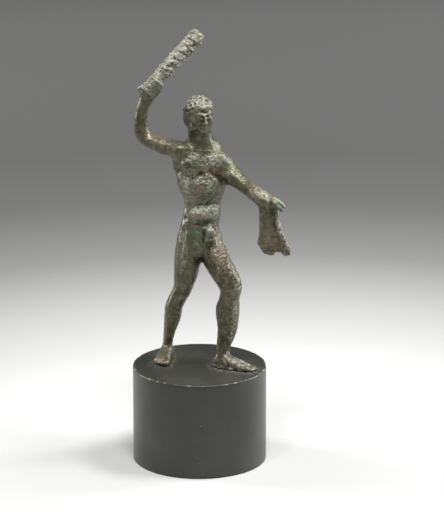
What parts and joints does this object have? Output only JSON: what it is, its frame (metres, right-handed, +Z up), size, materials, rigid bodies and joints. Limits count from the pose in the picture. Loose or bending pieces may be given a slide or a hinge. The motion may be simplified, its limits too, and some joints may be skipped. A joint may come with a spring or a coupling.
{
  "type": "hercules statuette",
  "caption": "Small cast bronze statuette of Hercules striding with a raised club and a lion skin hung over the left arm, fixed on a plain black turned base.",
  "frame": {"origin": "centre of the base's underside", "axes": "+Z up along the base's axis; +Y runs away from the viewer who faces the figure, and +X to that viewer's right, the side of the lion skin"},
  "size_m": [0.059, 0.05, 0.1629],
  "materials": {
    "bronze": "corroded dark green-brown patina, half matt",
    "black_lacquer": "satin black paint"
  },
  "bodies": {
    "root": {"display_base": "black_lacquer", "hercules_figure": "bronze"}
  },
  "joints": []
}
